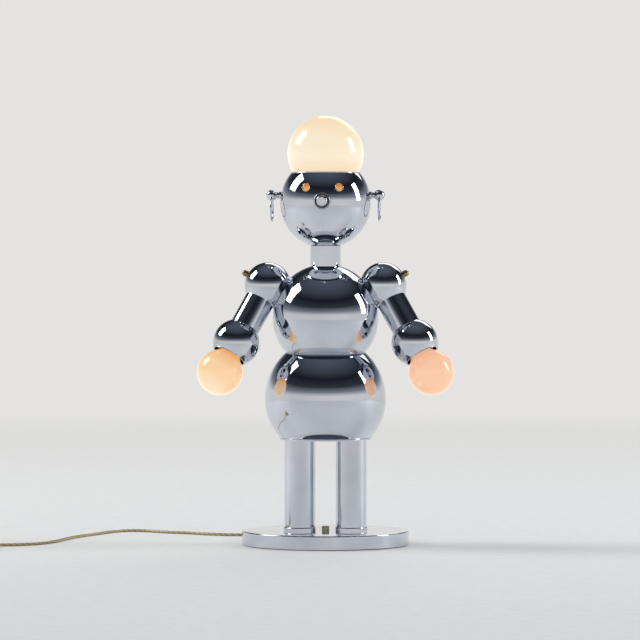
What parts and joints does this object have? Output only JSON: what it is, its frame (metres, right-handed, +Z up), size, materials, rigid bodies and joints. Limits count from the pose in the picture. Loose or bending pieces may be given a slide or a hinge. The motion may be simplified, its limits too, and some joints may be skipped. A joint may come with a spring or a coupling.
{
  "type": "table lamp",
  "caption": "Figure-shaped chromed table lamp of balls and tubes on a weighted disc, with globe bulbs at head and hands, swinging arms, turning head and a nose switch.",
  "frame": {"origin": "centre of the base's underside, on the surface the lamp stands on", "axes": "+Z up along the figure's height, -Y to the figure's front, +X to the viewer's right"},
  "size_m": [0.6719, 0.3322, 0.536],
  "materials": {
    "amber_lens": "moulded amber acrylic, lit from behind",
    "brass": "polished brass",
    "cap_metal": "rolled brass sheet",
    "cast_iron": "rough casting",
    "chrome": "polished chromium plate on spun steel",
    "felt": "pressed felt",
    "flex_pvc": "clear gold vinyl over copper",
    "nickel": "worn nickel plate on turned brass",
    "opal_glass": "opal white glass, lit",
    "phenolic": "moulded phenolic",
    "plug_pvc": "moulded brown-gold vinyl",
    "tie_paper": "paper-covered wire tie",
    "zinc_steel": "zinc plated"
  },
  "bodies": {
    "stand": {"base_centre_screw": "zinc_steel", "base_cover": "chrome", "base_pad": "felt", "base_thumb_nut": "nickel", "base_weight": "cast_iron", "centre_pipe": "zinc_steel", "centre_pipe_nuts": "zinc_steel", "coil_tie": "tie_paper", "flex_coil": "flex_pvc", "flex_gland": "flex_pvc", "flex_lead": "flex_pvc", "foot_collar_left": "chrome", "foot_collar_right": "chrome", "head_bulb_cap": "cap_metal", "head_bulb_glass": "opal_glass", "head_lampholder": "phenolic", "head_washer": "zinc_steel", "hip_ball": "chrome", "hip_plate": "chrome", "leg_rod_left": "zinc_steel", "leg_rod_nuts": "zinc_steel", "leg_rod_right": "zinc_steel", "leg_rod_washers": "zinc_steel", "leg_tube_left": "chrome", "leg_tube_right": "chrome", "neck_tube": "chrome", "pivot_finials": "brass", "pivot_nuts": "zinc_steel", "pivot_rods": "zinc_steel", "plug_body": "plug_pvc", "plug_prongs": "brass", "torso_ball": "chrome"},
    "head": {"head_ball": "chrome", "nose_switch": "phenolic", "nose_rosette": "chrome", "eye_lens_left": "amber_lens", "eye_lens_right": "amber_lens", "ear_stud_left": "chrome", "ear_stud_right": "chrome", "ear_nuts": "zinc_steel"},
    "nose": {"nose_knob": "chrome"},
    "ring_left": {"ear_ring_left": "chrome"},
    "ring_right": {"ear_ring_right": "chrome"},
    "arm_left": {"shoulder_ball_left": "chrome", "arm_tube_left": "chrome", "arm_rod_left": "zinc_steel", "arm_fasteners_left": "zinc_steel", "hand_ball_left": "chrome", "hand_lampholder_left": "phenolic", "hand_bulb_glass_left": "opal_glass", "hand_bulb_cap_left": "cap_metal"},
    "arm_right": {"shoulder_ball_right": "chrome", "arm_tube_right": "chrome", "arm_rod_right": "zinc_steel", "arm_fasteners_right": "zinc_steel", "hand_ball_right": "chrome", "hand_lampholder_right": "phenolic", "hand_bulb_glass_right": "opal_glass", "hand_bulb_cap_right": "cap_metal"}
  },
  "joints": [
    {"name": "head_turn", "type": "hinge", "parent": "stand", "child": "head", "pos_m": [0, 0, 0.4274], "axis": [0, 0, 1], "range_deg": [-85.7, 94.3]},
    {"name": "nose_switch_turn", "type": "hinge", "parent": "head", "child": "nose", "pos_m": [-0.00442, -0.05883, 0.4286], "axis": [-0.075, -0.9972, 0], "range_deg": [-270, 0]},
    {"name": "ear_ring_left_swing", "type": "hinge", "parent": "head", "child": "ring_left", "pos_m": [-0.06711, 0.00505, 0.4334], "axis": [0.075, 0.9972, 0], "range_deg": [-20, 110]},
    {"name": "ear_ring_right_swing", "type": "hinge", "parent": "head", "child": "ring_right", "pos_m": [0.06711, -0.00505, 0.4334], "axis": [-0.075, -0.9972, 0], "range_deg": [-20, 110]},
    {"name": "arm_left_swing", "type": "hinge", "parent": "stand", "child": "arm_left", "pos_m": [-0.07203, 0, 0.3238], "axis": [-0.8763, 0, 0.4818], "range_deg": [-76, 94]},
    {"name": "arm_right_swing", "type": "hinge", "parent": "stand", "child": "arm_right", "pos_m": [0.07203, 0, 0.3238], "axis": [-0.8763, 0, -0.4818], "range_deg": [-76, 94]}
  ]
}
